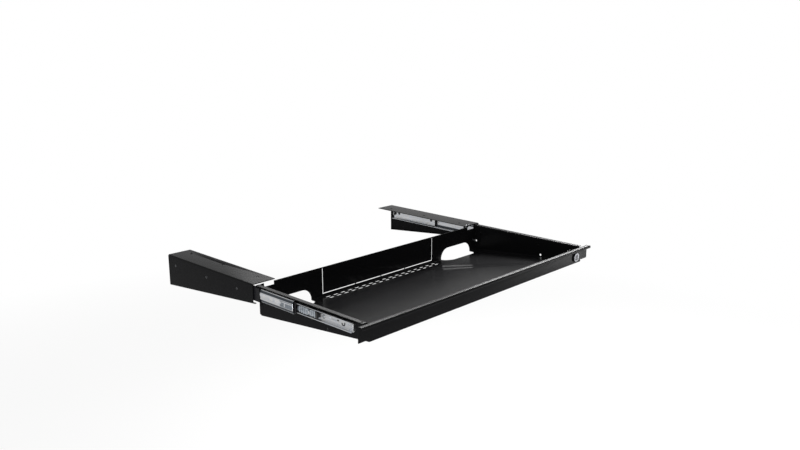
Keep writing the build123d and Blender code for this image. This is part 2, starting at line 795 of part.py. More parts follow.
pieces = {
    "tray": tray(),
    "left_bracket": mirror(bracket(), about=Plane.YZ),
    "right_bracket": right_bracket(),
    "bracket_rivets": bracket_rivets(),
    "closing_buffers": closing_buffers(),
    "outer_balls": ball_rows(outer_ball_place, outer_ball_height(), outer_cage_centre, outer_ball),
    "inner_balls": ball_rows(inner_ball_place, inner_ball_height(), inner_cage_centre, inner_ball),
    "rail_rivets": rail_rivets(),
    "corner_rivets": corner_rivets(),
    "lever_pins": lever_pins(),
    "lock_barrel": lock_barrel(),
    "lock_plug": lock_plug(),
    "lock_cam": lock_cam(),
    "cam_screw": cam_screw(),
    "lock_washer": lock_washer(),
    "lock_nut": lock_nut(),
    "lock_strike": lock_strike(),
    "strike_rivets": strike_rivets(),
}
for name, piece in paired.items():
    pieces["right_" + name] = piece
    pieces["left_" + name] = mirror(piece, about=Plane.YZ)

for name, piece in pieces.items():
    export_step(piece, "parts/" + name + ".step")
print(len(pieces), "pieces written")
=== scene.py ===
import json
import math

import bmesh
import bpy
from mathutils import Euler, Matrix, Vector
from mathutils.bvhtree import BVHTree


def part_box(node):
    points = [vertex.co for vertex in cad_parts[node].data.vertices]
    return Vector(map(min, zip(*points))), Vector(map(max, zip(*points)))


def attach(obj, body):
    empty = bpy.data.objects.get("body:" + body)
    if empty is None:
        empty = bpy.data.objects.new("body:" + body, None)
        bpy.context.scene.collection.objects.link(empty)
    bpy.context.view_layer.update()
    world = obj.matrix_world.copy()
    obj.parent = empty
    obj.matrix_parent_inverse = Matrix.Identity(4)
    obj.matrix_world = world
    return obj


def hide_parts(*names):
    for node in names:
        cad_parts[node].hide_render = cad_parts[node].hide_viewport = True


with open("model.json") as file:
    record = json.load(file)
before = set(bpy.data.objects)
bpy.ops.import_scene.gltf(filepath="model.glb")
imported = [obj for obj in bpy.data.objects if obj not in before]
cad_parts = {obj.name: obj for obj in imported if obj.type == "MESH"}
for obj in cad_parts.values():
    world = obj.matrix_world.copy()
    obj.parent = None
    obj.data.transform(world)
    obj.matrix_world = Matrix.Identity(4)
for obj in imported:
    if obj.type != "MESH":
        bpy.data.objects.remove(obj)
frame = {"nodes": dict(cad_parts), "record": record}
nodes = frame["nodes"]
record = frame["record"]
slotOfNode = {part["node"]: part["material_slot"] for part in record["subparts"]}
bodyOfNode = {name: body for body, names in record["behaviour"]["bodies"].items() for name in names}
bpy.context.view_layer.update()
print("frame loaded:", len(nodes), "nodes")

mm = 0.001


# Colours and nodes

def linear(hexColour):
    # sRGB hex as it is seen on screen, turned to linear
    channels = [int(hexColour[place:place + 2], 16) / 255 for place in (1, 3, 5)]
    return [c / 12.92 if c <= 0.04045 else ((c + 0.055) / 1.055) ** 2.4 for c in channels] + [1.0]


def addNode(tree, kind, settings=None, links=None):
    # settings name an input socket or a property of the node, links join sockets to inputs
    node = tree.nodes.new(kind)
    for name, value in (settings or {}).items():
        if isinstance(name, int) or name in node.inputs:
            node.inputs[name].default_value = value
        else:
            setattr(node, name, value)
    for name, source in (links or {}).items():
        tree.links.new(source, node.inputs[name])
    return node


def newMaterial(name):
    material = bpy.data.materials.new(name)
    material.use_nodes = True
    material.node_tree.nodes.clear()
    return material, material.node_tree


# Materials

# a noise keeps near one half, so these spans of its values are stretched to the whole range
midNoise = {"From Min": 0.35, "From Max": 0.65}
wideNoise = {"From Min": 0.3, "From Max": 0.7}

powderCoat = {"dark": "#0f0f10", "light": "#19191a", "grainMm": 1.1, "patchMm": 45,
              "fleckSpan": (0.35, 0.7), "roughness": (0.235, 0.25), "bump": 0.03, "bumpMm": 0.08,
              "specular": 0.02}


def blackPowderCoat():
    # Polyester powder coat, sprayed on sheet steel and baked: a semi-gloss skin with a fine
    # orange peel, drawn about twice as coarse as the real 0.5 mm so that it shows.
    material, tree = newMaterial("blackPowderCoat")
    where = addNode(tree, "ShaderNodeTexCoord").outputs["Object"]
    peel = addNode(tree, "ShaderNodeTexNoise",
                   {"Scale": 1 / (powderCoat["grainMm"] * mm), "Detail": 3.0}, {"Vector": where})
    patches = addNode(tree, "ShaderNodeTexNoise",
                      {"Scale": 1 / (powderCoat["patchMm"] * mm), "Detail": 2.0}, {"Vector": where})
    low, high = powderCoat["fleckSpan"]
    fleck = addNode(tree, "ShaderNodeMapRange", {"From Min": low, "From Max": high},
                    {"Value": peel.outputs["Fac"]})
    colour = addNode(tree, "ShaderNodeMix",
                     {"data_type": "RGBA", 6: linear(powderCoat["dark"]),
                      7: linear(powderCoat["light"])}, {0: fleck.outputs["Result"]})
    low, high = powderCoat["roughness"]
    gloss = addNode(tree, "ShaderNodeMapRange",
                    {**wideNoise, "To Min": low, "To Max": high},
                    {"Value": patches.outputs["Fac"]})
    grain = addNode(tree, "ShaderNodeBump",
                    {"Strength": powderCoat["bump"], "Distance": powderCoat["bumpMm"] * mm},
                    {"Height": peel.outputs["Fac"]})
    shader = addNode(tree, "ShaderNodeBsdfPrincipled",
                     {"Metallic": 0.0, "IOR": 1.5, "Specular IOR Level": powderCoat["specular"]},
                     {"Base Color": colour.outputs[2], "Roughness": gloss.outputs["Result"],
                      "Normal": grain.outputs["Normal"]})
    addNode(tree, "ShaderNodeOutputMaterial", links={"Surface": shader.outputs[0]})
    return material


zincPlate = {"dark": "#9b9ea3", "light": "#c9cacd", "cool": "#a9b0bb", "warm": "#c4c0b4",
             "streakMm": (0.9, 60.0, 0.9), "cloudMm": 7.0, "roughness": (0.24, 0.42),
             "tintShare": 0.3, "bump": 0.12, "bumpMm": 0.05}
# the rivets' heads get a darker, rougher copy of the strip's zinc; the darker colour is painted
# shade that dims their highlight
shadedHeadZinc = {**zincPlate, "dark": "#74777b", "light": "#8f9296", "cool": "#7a7f86",
            "warm": "#8b8881", "roughness": (0.48, 0.60)}
# painted dark reflection on the middle rails' sloped sides: its grey, and where the band starts and
# ends from the slide's axis
slopeShade = {"colour": "#3c4045", "startsMm": (5.9, 6.7), "endsMm": (10.4, 11.1),
               "roughness": 0.5}


def brightZincPlate(name, plate, shadedSlopes=False, slideZ=0.0):
    # Roll-formed strip, electroplated with zinc and passivated: fine streaks along the rolling
    # direction, a cloudy sheen, and a faint blue and straw tint from the passivation.
    # On the middle rails the sloped sides carry a painted dark reflection: a dark grey band.
    material, tree = newMaterial(name)
    where = addNode(tree, "ShaderNodeTexCoord").outputs["Object"]
    along = addNode(tree, "ShaderNodeMapping",
                    {"Scale": [1 / (size * mm) for size in plate["streakMm"]]},
                    {"Vector": where})
    streaks = addNode(tree, "ShaderNodeTexNoise", {"Scale": 1.0, "Detail": 3.0},
                      {"Vector": along.outputs["Vector"]})
    cloud = addNode(tree, "ShaderNodeTexNoise",
                    {"Scale": 1 / (plate["cloudMm"] * mm), "Detail": 3.0}, {"Vector": where})
    rolled = addNode(tree, "ShaderNodeMapRange", wideNoise,
                     {"Value": streaks.outputs["Fac"]})
    tinted = addNode(tree, "ShaderNodeMapRange", midNoise,
                     {"Value": cloud.outputs["Fac"]})
    sheen = addNode(tree, "ShaderNodeMix",
                    {"data_type": "RGBA", 6: linear(plate["dark"]),
                     7: linear(plate["light"])}, {0: rolled.outputs["Result"]})
    passive = addNode(tree, "ShaderNodeMix",
                      {"data_type": "RGBA", 6: linear(plate["cool"]),
                       7: linear(plate["warm"])}, {0: tinted.outputs["Result"]})
    colour = addNode(tree, "ShaderNodeMix", {"data_type": "RGBA", 0: plate["tintShare"]},
                     {6: sheen.outputs[2], 7: passive.outputs[2]}).outputs[2]
    low, high = plate["roughness"]
    gloss = addNode(tree, "ShaderNodeMapRange",
                    {**wideNoise, "To Min": low, "To Max": high},
                    {"Value": cloud.outputs["Fac"]}).outputs["Result"]
    if shadedSlopes:
        # painted dark reflection: the band on the sloped sides turns dark grey and rougher
        height = addNode(tree, "ShaderNodeSeparateXYZ", links={0: where}).outputs["Z"]
        fromAxis = addNode(tree, "ShaderNodeMath", {"operation": "SUBTRACT", 1: slideZ},
                           {0: height})
        away = addNode(tree, "ShaderNodeMath", {"operation": "ABSOLUTE"}, {0: fromAxis.outputs[0]})
        begins = addNode(tree, "ShaderNodeMapRange",
                         {"From Min": slopeShade["startsMm"][0] * mm,
                          "From Max": slopeShade["startsMm"][1] * mm}, {"Value": away.outputs[0]})
        stops = addNode(tree, "ShaderNodeMapRange",
                        {"From Min": slopeShade["endsMm"][0] * mm,
                         "From Max": slopeShade["endsMm"][1] * mm, "To Min": 1.0, "To Max": 0.0},
                        {"Value": away.outputs[0]})
        slopeShadeBand = addNode(tree, "ShaderNodeMath", {"operation": "MULTIPLY"},
                       {0: begins.outputs["Result"], 1: stops.outputs["Result"]})
        colour = addNode(tree, "ShaderNodeMix",
                         {"data_type": "RGBA", 7: linear(slopeShade["colour"])},
                         {0: slopeShadeBand.outputs[0], 6: colour}).outputs[2]
        gloss = addNode(tree, "ShaderNodeMix", {"data_type": "FLOAT", 3: slopeShade["roughness"]},
                        {0: slopeShadeBand.outputs[0], 2: gloss}).outputs[0]
    drawn = addNode(tree, "ShaderNodeBump",
                    {"Strength": plate["bump"], "Distance": plate["bumpMm"] * mm},
                    {"Height": streaks.outputs["Fac"]})
    shader = addNode(tree, "ShaderNodeBsdfPrincipled", {"Metallic": 1.0},
                     {"Base Color": colour, "Roughness": gloss, "Normal": drawn.outputs["Normal"]})
    addNode(tree, "ShaderNodeOutputMaterial", links={"Surface": shader.outputs[0]})
    return material


nickel = {"dark": "#5c5d60", "light": "#78797c", "collar": "#232426", "collarFromMm": 9.0,
          "collarBlurMm": 0.2, "turningMm": 0.7, "smudgeMm": 4.0, "roughness": (0.48, 0.58),
          "bump": 0.08, "bumpMm": 0.04}


def satinNickel(lockCentre):
    # Die-cast zinc, turned on its face and plated with nickel: a soft mirror with the faint
    # rings of the turning tool. They are 2 pi times turningMm apart, about 4.4 mm, because
    # the real ones are too fine to show. Past collarFromMm from the centre it is drawn dark.
    material, tree = newMaterial("satinNickel")
    where = addNode(tree, "ShaderNodeTexCoord").outputs["Object"]
    centred = addNode(tree, "ShaderNodeMapping", {"Location": [-along for along in lockCentre]},
                      {"Vector": where})
    flat = addNode(tree, "ShaderNodeVectorMath", {"operation": "MULTIPLY", 1: (1.0, 0.0, 1.0)},
                   {0: centred.outputs["Vector"]})
    radius = addNode(tree, "ShaderNodeVectorMath", {"operation": "LENGTH"},
                     {0: flat.outputs["Vector"]}).outputs["Value"]
    rings = addNode(tree, "ShaderNodeTexWave",
                    {"wave_type": "RINGS", "rings_direction": "Y",
                     "Scale": 1 / (nickel["turningMm"] * mm) / 20, "Distortion": 0.2},
                    {"Vector": centred.outputs["Vector"]})
    smudge = addNode(tree, "ShaderNodeTexNoise",
                     {"Scale": 1 / (nickel["smudgeMm"] * mm), "Detail": 2.0}, {"Vector": where})
    turned = addNode(tree, "ShaderNodeMix",
                     {"data_type": "RGBA", 6: linear(nickel["dark"]), 7: linear(nickel["light"])},
                     {0: smudge.outputs["Fac"]})
    atRim = addNode(tree, "ShaderNodeMapRange",
                    {"From Min": (nickel["collarFromMm"] - nickel["collarBlurMm"]) * mm,
                     "From Max": (nickel["collarFromMm"] + nickel["collarBlurMm"]) * mm},
                    {"Value": radius})
    colour = addNode(tree, "ShaderNodeMix", {"data_type": "RGBA", 7: linear(nickel["collar"])},
                     {0: atRim.outputs["Result"], 6: turned.outputs[2]})
    low, high = nickel["roughness"]
    gloss = addNode(tree, "ShaderNodeMapRange",
                    {**wideNoise, "To Min": low, "To Max": high},
                    {"Value": smudge.outputs["Fac"]})
    cut = addNode(tree, "ShaderNodeBump",
                  {"Strength": nickel["bump"], "Distance": nickel["bumpMm"] * mm},
                  {"Height": rings.outputs["Fac"]})
    shader = addNode(tree, "ShaderNodeBsdfPrincipled", {"Metallic": 1.0},
                     {"Base Color": colour.outputs[2], "Roughness": gloss.outputs["Result"],
                      "Normal": cut.outputs["Normal"]})
    addNode(tree, "ShaderNodeOutputMaterial", links={"Surface": shader.outputs[0]})
    return material


bearingSteel = {"dark": "#b9babd", "light": "#dcdcde", "greaseMm": 1.2,
                "roughness": (0.05, 0.14)}


def polishedBearingSteel():
    # Hardened chrome steel, ground and polished: a near mirror with a trace of grease.
    material, tree = newMaterial("polishedBearingSteel")
    where = addNode(tree, "ShaderNodeTexCoord").outputs["Object"]
    grease = addNode(tree, "ShaderNodeTexNoise",
                     {"Scale": 1 / (bearingSteel["greaseMm"] * mm), "Detail": 2.0},
                     {"Vector": where})
    colour = addNode(tree, "ShaderNodeMix",
                     {"data_type": "RGBA", 6: linear(bearingSteel["dark"]),
                      7: linear(bearingSteel["light"])},
                     {0: grease.outputs["Fac"]})
    low, high = bearingSteel["roughness"]
    gloss = addNode(tree, "ShaderNodeMapRange",
                    {**midNoise, "To Min": low, "To Max": high},
                    {"Value": grease.outputs["Fac"]})
    shader = addNode(tree, "ShaderNodeBsdfPrincipled", {"Metallic": 1.0},
                     {"Base Color": colour.outputs[2], "Roughness": gloss.outputs["Result"]})
    addNode(tree, "ShaderNodeOutputMaterial", links={"Surface": shader.outputs[0]})
    return material


acetal = {"mottleMm": 2.6, "textureMm": 0.5, "roughness": 0.42, "bump": 0.15, "bumpMm": 0.06}
acetalShades = {"greyAcetal": ("#3c4046", "#6f757c"), "paleAcetal": ("#686e74", "#959ba1"),
                "windowShadeAcetal": ("#494f55", "#646a71")}


def mouldedAcetal(name):
    # Injection-moulded acetal: waxy blue-grey, slightly mottled, with a fine spark-eroded
    # texture drawn at 0.5 mm, about five times the real one, so that it shows.
    material, tree = newMaterial(name)
    where = addNode(tree, "ShaderNodeTexCoord").outputs["Object"]
    mottle = addNode(tree, "ShaderNodeTexNoise",
                     {"Scale": 1 / (acetal["mottleMm"] * mm), "Detail": 3.0}, {"Vector": where})
    texture = addNode(tree, "ShaderNodeTexNoise",
                      {"Scale": 1 / (acetal["textureMm"] * mm), "Detail": 1.0}, {"Vector": where})
    share = addNode(tree, "ShaderNodeMapRange", midNoise,
                    {"Value": mottle.outputs["Fac"]})
    colour = addNode(tree, "ShaderNodeMix",
                     {"data_type": "RGBA", 6: linear(acetalShades[name][0]),
                      7: linear(acetalShades[name][1])}, {0: share.outputs["Result"]})
    grain = addNode(tree, "ShaderNodeBump",
                    {"Strength": acetal["bump"], "Distance": acetal["bumpMm"] * mm},
                    {"Height": texture.outputs["Fac"]})
    shader = addNode(tree, "ShaderNodeBsdfPrincipled",
                     {"IOR": 1.48, "Roughness": acetal["roughness"]},
                     {"Base Color": colour.outputs[2], "Normal": grain.outputs["Normal"]})
    addNode(tree, "ShaderNodeOutputMaterial", links={"Surface": shader.outputs[0]})
    return material


nylon = {"dark": "#0c0c0e", "light": "#161619", "fibreMm": 1.4, "roughness": 0.5,
         "specular": 0.1, "bump": 0.15, "bumpMm": 0.06}


def blackNylon():
    # Glass-filled nylon, moulded, of the ball cages: near black, dull, with a faint fibre mottle.
    material, tree = newMaterial("blackNylon")
    where = addNode(tree, "ShaderNodeTexCoord").outputs["Object"]
    fibre = addNode(tree, "ShaderNodeTexNoise",
                    {"Scale": 1 / (nylon["fibreMm"] * mm), "Detail": 3.0}, {"Vector": where})
    colour = addNode(tree, "ShaderNodeMix",
                     {"data_type": "RGBA", 6: linear(nylon["dark"]), 7: linear(nylon["light"])},
                     {0: fibre.outputs["Fac"]})
    grain = addNode(tree, "ShaderNodeBump",
                    {"Strength": nylon["bump"], "Distance": nylon["bumpMm"] * mm},
                    {"Height": fibre.outputs["Fac"]})
    shader = addNode(tree, "ShaderNodeBsdfPrincipled",
                     {"IOR": 1.53, "Roughness": nylon["roughness"],
                      "Specular IOR Level": nylon["specular"]},
                     {"Base Color": colour.outputs[2], "Normal": grain.outputs["Normal"]})
    addNode(tree, "ShaderNodeOutputMaterial", links={"Surface": shader.outputs[0]})
    return material


rubber = {"dark": "#0e0e0e", "light": "#1d1d1c", "bloomMm": 2.0, "roughness": 0.75,
          "bump": 0.2, "bumpMm": 0.08}


def mattRubber():
    # Moulded nitrile rubber: deep black with a dull bloom.
    material, tree = newMaterial("mattRubber")
    where = addNode(tree, "ShaderNodeTexCoord").outputs["Object"]
    bloom = addNode(tree, "ShaderNodeTexNoise",
                    {"Scale": 1 / (rubber["bloomMm"] * mm), "Detail": 3.0}, {"Vector": where})
    colour = addNode(tree, "ShaderNodeMix",
                     {"data_type": "RGBA", 6: linear(rubber["dark"]), 7: linear(rubber["light"])},
                     {0: bloom.outputs["Fac"]})
    grain = addNode(tree, "ShaderNodeBump",
                    {"Strength": rubber["bump"], "Distance": rubber["bumpMm"] * mm},
                    {"Height": bloom.outputs["Fac"]})
    shader = addNode(tree, "ShaderNodeBsdfPrincipled",
                     {"IOR": 1.52, "Roughness": rubber["roughness"]},
                     {"Base Color": colour.outputs[2], "Normal": grain.outputs["Normal"]})
    addNode(tree, "ShaderNodeOutputMaterial", links={"Surface": shader.outputs[0]})
    return material


blackZinc = {"dark": "#17171a", "light": "#2c2c2f", "rubMm": 1.5, "roughness": (0.28, 0.42)}


def blackZincRivet():
    # Steel rivet in black zinc-nickel: harder and glossier than the coat around it.
    material, tree = newMaterial("blackZincRivet")
    where = addNode(tree, "ShaderNodeTexCoord").outputs["Object"]
    rub = addNode(tree, "ShaderNodeTexNoise",
                  {"Scale": 1 / (blackZinc["rubMm"] * mm), "Detail": 2.0}, {"Vector": where})
    colour = addNode(tree, "ShaderNodeMix",
                     {"data_type": "RGBA", 6: linear(blackZinc["dark"]),
                      7: linear(blackZinc["light"])},
                     {0: rub.outputs["Fac"]})
    low, high = blackZinc["roughness"]
    gloss = addNode(tree, "ShaderNodeMapRange",
                    {**wideNoise, "To Min": low, "To Max": high},
                    {"Value": rub.outputs["Fac"]})
    shader = addNode(tree, "ShaderNodeBsdfPrincipled", {"Metallic": 0.6, "Specular IOR Level": 0.4},
                     {"Base Color": colour.outputs[2], "Roughness": gloss.outputs["Result"]})
    addNode(tree, "ShaderNodeOutputMaterial", links={"Surface": shader.outputs[0]})
    return material


lockLow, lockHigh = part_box("lock_barrel")
lockCentre = (lockLow + lockHigh) / 2
lockCentre.y = lockLow.y
railLow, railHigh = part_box("left_middle_rail")
slideZ = (railLow.z + railHigh.z) / 2
finishes = {
    "black_powder_coat": blackPowderCoat(),
    "zinc_plate": brightZincPlate("brightZincPlate", zincPlate),
    "lock_chrome": satinNickel(lockCentre),
    "rubber": mattRubber(),
    "lever_plastic": mouldedAcetal("greyAcetal"),
    "bearing_steel": polishedBearingSteel(),
    "black_rivet": blackZincRivet(),
    "cage_plastic": blackNylon(),
}
paleAcetal = mouldedAcetal("paleAcetal")
# the blue-grey acetal of the painted-shade plate on the middle rails' web
windowShadeAcetal = mouldedAcetal("windowShadeAcetal")
# the middle rails' zinc, with a painted dark reflection on the sloped sides
slopeShadedZinc = brightZincPlate("slopeShadedZincPlate", zincPlate, True, slideZ)
finishOfNode = {name: finishes[slot] for name, slot in slotOfNode.items()}
finishOfNode["left_middle_rail"] = finishOfNode["right_middle_rail"] = slopeShadedZinc
# the rail rivets take the darker zinc, painted shade on their heads
finishOfNode["rail_rivets"] = brightZincPlate("shadedHeadZincPlate", shadedHeadZinc)
for name, node in nodes.items():
    node.data.materials.clear()
    node.data.materials.append(finishOfNode[name])
print("materials made:", len(bpy.data.materials))


# Pieces

def addPiece(name, mesh, material, body, replaced=()):
    if not mesh.materials:
        mesh.materials.append(material)
    piece = bpy.data.objects.new(name, mesh)
    bpy.context.scene.collection.objects.link(piece)
    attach(piece, body)
    if replaced:
        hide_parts(*replaced)


weldMm = 0.005


def mergedShape(nodeName):
    # a CAD mesh is loose triangles, so its copy is joined up first
    shape = bmesh.new()
    shape.from_mesh(nodes[nodeName].data)
    bmesh.ops.remove_doubles(shape, verts=shape.verts, dist=weldMm * mm)
    return shape


edgeBreak = {"chamferMm": 0.22, "fromDeg": 35.0, "flatDeg": 0.5, "smoothBelowDeg": 30.0,
             "strayMm": 0.02}
sheetPieces = ["tray", "left_bracket", "right_bracket", "left_outer_rail", "right_outer_rail",
               "left_middle_rail", "right_middle_rail", "left_inner_rail", "right_inner_rail",
               "lock_strike", "lock_cam", "lock_nut", "lock_washer", "lock_barrel", "lock_plug",
               "cam_screw", "closing_buffers", "left_release_lever", "right_release_lever"]
blackTab = {"nodes": ("left_release_lever", "right_release_lever"), "longMm": 5.7}


def breakEdges(nodeName, chamferMm):
    # the shears and the coat leave no sharp edge, so the cut edges get a small chamfer;
    # returns how many of its corners had to be moved
    shape = mergedShape(nodeName)
    skin = BVHTree.FromBMesh(shape)
    bmesh.ops.dissolve_limit(shape, angle_limit=math.radians(edgeBreak["flatDeg"]),
                             verts=shape.verts, edges=shape.edges)
    mesh = bpy.data.meshes.new(nodeName + "Eased")
    shape.to_mesh(mesh)
    shape.free()
    holder = bpy.data.objects.new(nodeName + "Eased", mesh)
    bpy.context.scene.collection.objects.link(holder)
    bevel = holder.modifiers.new("break", "BEVEL")
    bevel.width = chamferMm * mm
    bevel.segments = 1
    bevel.limit_method = "ANGLE"
    bevel.angle_limit = math.radians(edgeBreak["fromDeg"])
    bevel.use_clamp_overlap = False
    bpy.context.view_layer.update()
    eased = bpy.data.meshes.new_from_object(
        holder.evaluated_get(bpy.context.evaluated_depsgraph_get()))
    bpy.data.objects.remove(holder)
    strays = 0
    for vert in eased.vertices:
        # a chamfer's corners lie on the sheet, so one that a narrow cut threw off it comes back
        onSheet, _, _, away = skin.find_nearest(vert.co)
        if away > edgeBreak["strayMm"] * mm:
            vert.co = onSheet
            strays += 1
    eased.shade_smooth()
    eased.set_sharp_from_angle(angle=math.radians(edgeBreak["smoothBelowDeg"]))
    eased.materials.clear()
    if nodeName in blackTab["nodes"]:
        # the front 5.7 mm, the finger tab and a strip of the plate behind it, is drawn black
        eased.materials.append(finishOfNode[nodeName])
        eased.materials.append(finishes["cage_plastic"])
        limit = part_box(nodeName)[0].y + blackTab["longMm"] * mm
        for face in eased.polygons:
            face.material_index = 1 if face.center.y < limit else 0
    addPiece(nodeName + "_eased", eased, finishOfNode[nodeName], bodyOfNode[nodeName],
             [nodeName])
    return strays


otherChamfersMm = {"lock_strike": 0.2, "lock_cam": 0.2, "lock_nut": 0.2, "lock_washer": 0.1,
                   "cam_screw": 0.12, "closing_buffers": 0.3, "left_release_lever": 0.2,
                   "right_release_lever": 0.2, "lock_plug": 0.12, "lock_barrel": 0.12}
strays = sum(breakEdges(nodeName, otherChamfersMm.get(nodeName, edgeBreak["chamferMm"]))
             for nodeName in sheetPieces)
print("edges broken on", len(sheetPieces), "pieces,", strays, "stray corners brought back")


def newTree(name, inputs):
    tree = bpy.data.node_groups.new(name, "GeometryNodeTree")
    tree.interface.new_socket("Places", in_out="INPUT", socket_type="NodeSocketGeometry")
    for label, value in inputs.items():
        kind = "NodeSocketInt" if isinstance(value, int) else "NodeSocketFloat"
        socket = tree.interface.new_socket(label, in_out="INPUT", socket_type=kind)
        socket.default_value = value
    tree.interface.new_socket("Shapes", in_out="OUTPUT", socket_type="NodeSocketGeometry")
    return tree, addNode(tree, "NodeGroupInput").outputs


def closeTree(tree, geometry, material):
    real = addNode(tree, "GeometryNodeRealizeInstances", links={0: geometry})
    coloured = addNode(tree, "GeometryNodeSetMaterial", {"Material": material},
                       {"Geometry": real.outputs[0]})
    addNode(tree, "NodeGroupOutput", links={0: coloured.outputs[0]})


def growShapes(name, tree, places, sizes, smoothDeg=30.0):
    # places are (point, direction) pairs; returns a plain mesh of what the tree makes there
    seed = bpy.data.meshes.new(name + "Places")
    seed.from_pydata([point for point, _ in places], [], [])
    outward = seed.attributes.new("outward", "FLOAT_VECTOR", "POINT")
    for entry, (_, direction) in zip(outward.data, places):
        entry.vector = direction
    holder = bpy.data.objects.new(name + "Places", seed)
    bpy.context.scene.collection.objects.link(holder)
    grower = holder.modifiers.new("grow", "NODES")
    grower.node_group = tree
    for item in tree.interface.items_tree:
        if item.item_type == "SOCKET" and item.in_out == "INPUT" and item.name in sizes:
            grower[item.identifier] = sizes[item.name]
    bpy.context.view_layer.update()
    mesh = bpy.data.meshes.new_from_object(
        holder.evaluated_get(bpy.context.evaluated_depsgraph_get()))
    holder.modifiers.remove(grower)
    bpy.data.objects.remove(holder)
    material = mesh.materials[-1]     # the tree's own finish, after the places' empty slot
    mesh.materials.clear()
    mesh.materials.append(material)
    mesh.polygons.foreach_set("material_index", [0] * len(mesh.polygons))
    mesh.set_sharp_from_angle(angle=math.radians(smoothDeg))
    mesh.name = name
    return mesh


def solidsOf(nodeName):
    # the lowest and highest corner of each separate solid of a CAD node
    shape = mergedShape(nodeName)
    found, seen = [], set()
    for start in shape.verts:
        if start in seen:
            continue
        reached, waiting = [], [start]
        seen.add(start)
        while waiting:
            vert = waiting.pop()
            reached.append(vert.co.copy())
            for edge in vert.link_edges:
                other = edge.other_vert(vert)
                if other not in seen:
                    seen.add(other)
                    waiting.append(other)
        found.append((Vector([min(co[axis] for co in reached) for axis in range(3)]),
                      Vector([max(co[axis] for co in reached) for axis in range(3)])))
    shape.free()
    return found


# Rivets

rivets = {
    "bracket_rivets": {"outward": None, "headMm": (2.8, 0.9), "tailMm": (3.5, 0.05),
                       "cadTailMm": 0.0, "shankMm": 2.0},
    "rail_rivets": {"outward": None, "headMm": (3.5, 1.6), "tailMm": (2.8, 0.9),
                    "cadTailMm": 0.9, "shankMm": 2.0, "blackInsideMm": 1.1},
    "corner_rivets": {"outward": (0, 1, 0), "headMm": (2.8, 0.9), "tailMm": (2.8, 0.9),
                      "cadTailMm": 0.9, "shankMm": 2.0},
    "strike_rivets": {"outward": (0, 0, -1), "headMm": (2.7, 1.0), "tailMm": (1.6, 0.02),
                      "cadTailMm": 0.0, "shankMm": 1.6},
}


def rivetTree(material):
    # a domed head, a shank and a flatter set tail, along the outward direction of each place
    tree, given = newTree("rivet", {"Head Radius": 0.0035, "Head Height": 0.0016,
                                    "Tail Radius": 0.0028, "Tail Height": 0.0009,
                                    "Shank Radius": 0.002, "Length": 0.006, "Sides": 28})
    turn = addNode(tree, "FunctionNodeAlignRotationToVector", {"axis": "Z"},
                   {"Vector": addNode(tree, "GeometryNodeInputNamedAttribute",
                                      {"data_type": "FLOAT_VECTOR", "Name": "outward"}).outputs[0]})
    ball = addNode(tree, "GeometryNodeMeshUVSphere", {"Rings": 12, "Radius": 1.0},
                   {"Segments": given["Sides"]})
    place = addNode(tree, "GeometryNodeInputPosition")
    split = addNode(tree, "ShaderNodeSeparateXYZ", links={0: place.outputs[0]})
    raised = addNode(tree, "ShaderNodeMath", {"operation": "MAXIMUM", 1: 0.0},
                     {0: split.outputs["Z"]})
    cupped = addNode(tree, "ShaderNodeCombineXYZ", links={
        0: split.outputs["X"], 1: split.outputs["Y"], 2: raised.outputs[0]})
    dome = addNode(tree, "GeometryNodeSetPosition", links={
        "Geometry": ball.outputs[0], "Position": cupped.outputs[0]})
    headSize = addNode(tree, "ShaderNodeCombineXYZ", links={
        0: given["Head Radius"], 1: given["Head Radius"], 2: given["Head Height"]})
    tailDrop = addNode(tree, "ShaderNodeMath", {"operation": "MULTIPLY", 1: -1.0},
                       {0: given["Tail Height"]})
    tailSize = addNode(tree, "ShaderNodeCombineXYZ", links={
        0: given["Tail Radius"], 1: given["Tail Radius"], 2: tailDrop.outputs[0]})
    headMove = addNode(tree, "ShaderNodeCombineXYZ", links={2: given["Length"]})
    head = addNode(tree, "GeometryNodeTransform", links={
        "Geometry": dome.outputs[0], "Scale": headSize.outputs[0],
        "Translation": headMove.outputs[0]})
    tail = addNode(tree, "GeometryNodeTransform", links={
        "Geometry": dome.outputs[0], "Scale": tailSize.outputs[0]})
    tailOut = addNode(tree, "GeometryNodeFlipFaces", links={"Mesh": tail.outputs[0]})
    shank = addNode(tree, "GeometryNodeMeshCylinder", {"fill_type": "NGON"},
                    {"Vertices": given["Sides"], "Radius": given["Shank Radius"],
                     "Depth": given["Length"]})
    half = addNode(tree, "ShaderNodeMath", {"operation": "MULTIPLY", 1: 0.5}, {0: given["Length"]})
    lift = addNode(tree, "ShaderNodeCombineXYZ", links={2: half.outputs[0]})
    shankUp = addNode(tree, "GeometryNodeTransform", links={
        "Geometry": shank.outputs["Mesh"], "Translation": lift.outputs[0]})
    whole = addNode(tree, "GeometryNodeJoinGeometry")
    for part in (head, tailOut, shankUp):
        tree.links.new(part.outputs[0], whole.inputs[0])
    smooth = addNode(tree, "GeometryNodeSetShadeSmooth", links={"Geometry": whole.outputs[0]})
    points = addNode(tree, "GeometryNodeMeshToPoints", links={"Mesh": given["Places"]})
    placed = addNode(tree, "GeometryNodeInstanceOnPoints", links={
        "Points": points.outputs[0], "Instance": smooth.outputs[0], "Rotation": turn.outputs[0]})
    closeTree(tree, placed.outputs[0], material)
    return tree


